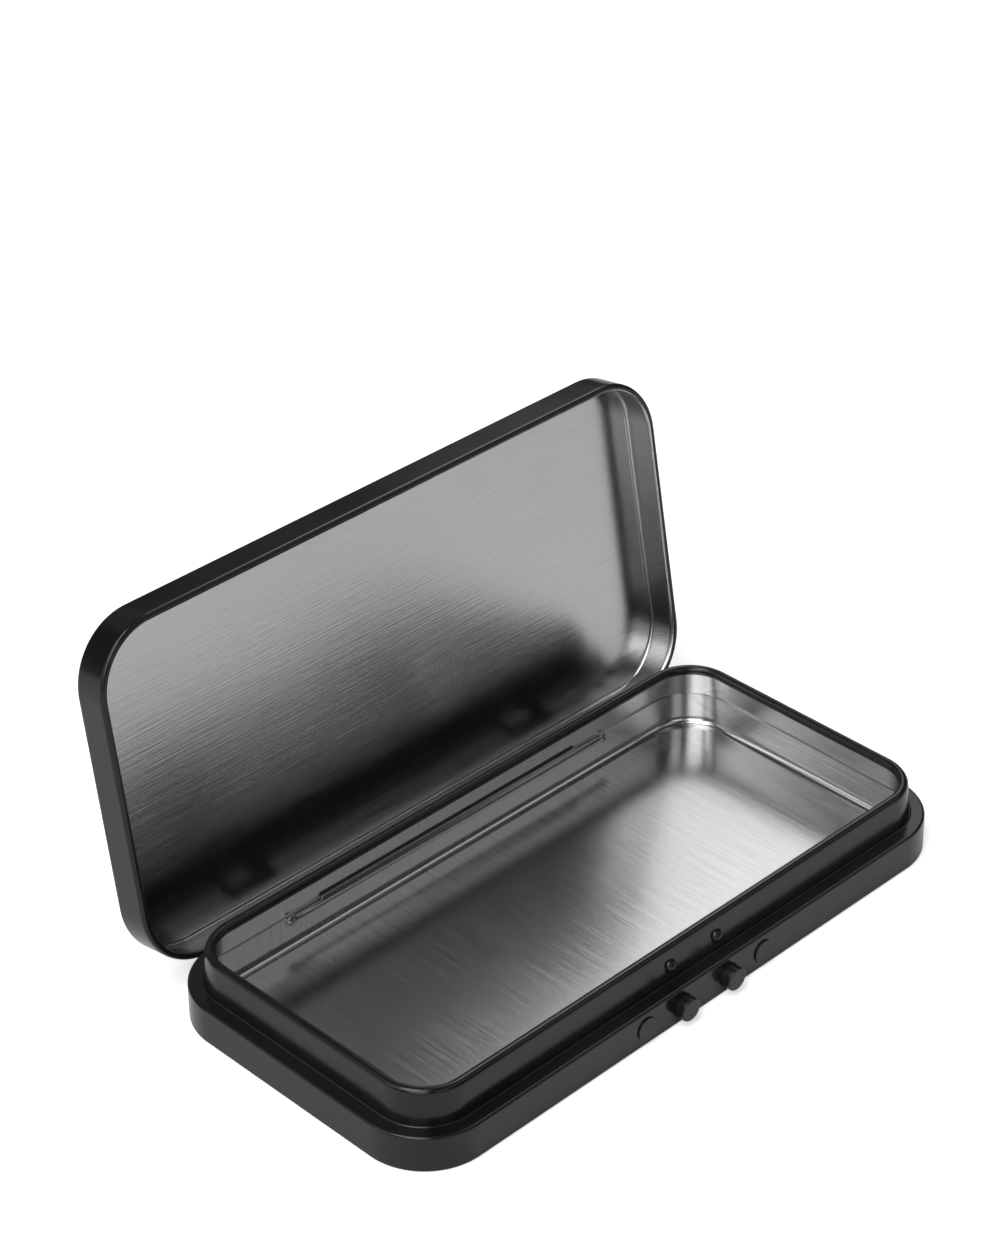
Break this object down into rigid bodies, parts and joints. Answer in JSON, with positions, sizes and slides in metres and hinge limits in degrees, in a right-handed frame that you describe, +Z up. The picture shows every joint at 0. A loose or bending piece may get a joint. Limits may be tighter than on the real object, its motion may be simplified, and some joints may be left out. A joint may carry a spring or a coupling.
{
  "type": "hinged tin case",
  "caption": "Slim rounded-corner sheet-metal case with a shouldered base, rolled-rim neck, hinged lid held by push-button catches, and a bare brushed inside.",
  "frame": {"origin": "centre of the underside of the base, on the surface it stands on", "axes": "+X along the length, -Y towards the push buttons, +Z up"},
  "size_m": [0.122, 0.0787, 0.0636],
  "materials": {
    "black_lacquer": "gloss",
    "bare_steel": "brushed",
    "plated_steel": "satin"
  },
  "bodies": {
    "base": {"base_shell": "black_lacquer", "neck_ring": "black_lacquer", "inner_tray": "bare_steel", "hinge_rail": "bare_steel", "latch_cover": "bare_steel", "left_hinge_pin": "plated_steel", "right_hinge_pin": "plated_steel", "left_spring_rivet": "black_lacquer", "right_spring_rivet": "black_lacquer", "left_leaf_spring": "plated_steel", "right_leaf_spring": "plated_steel"},
    "lid": {"lid_shell": "black_lacquer", "lid_strike": "black_lacquer", "left_lid_knuckle": "black_lacquer", "right_lid_knuckle": "black_lacquer"},
    "left_latch": {"left_push_button": "black_lacquer", "left_catch_pin": "black_lacquer", "left_latch_plate": "plated_steel"},
    "right_latch": {"right_push_button": "black_lacquer", "right_catch_pin": "black_lacquer", "right_latch_plate": "plated_steel"}
  },
  "joints": [
    {"name": "lid_hinge", "type": "hinge", "parent": "base", "child": "lid", "pos_m": [0, 0.0293, 0.00545], "axis": [1, 0, 0], "range_deg": [0, 99.7]},
    {"name": "left_button", "type": "slide", "parent": "base", "child": "left_latch", "axis": [0, 1, 0], "range_m": [0, 0.001], "stiffness_N_per_m": 800, "springref_m": -0.0005, "deforming": ["left_leaf_spring"]},
    {"name": "right_button", "type": "slide", "parent": "base", "child": "right_latch", "axis": [0, 1, 0], "range_m": [0, 0.001], "stiffness_N_per_m": 800, "springref_m": -0.0005, "deforming": ["right_leaf_spring"]}
  ]
}
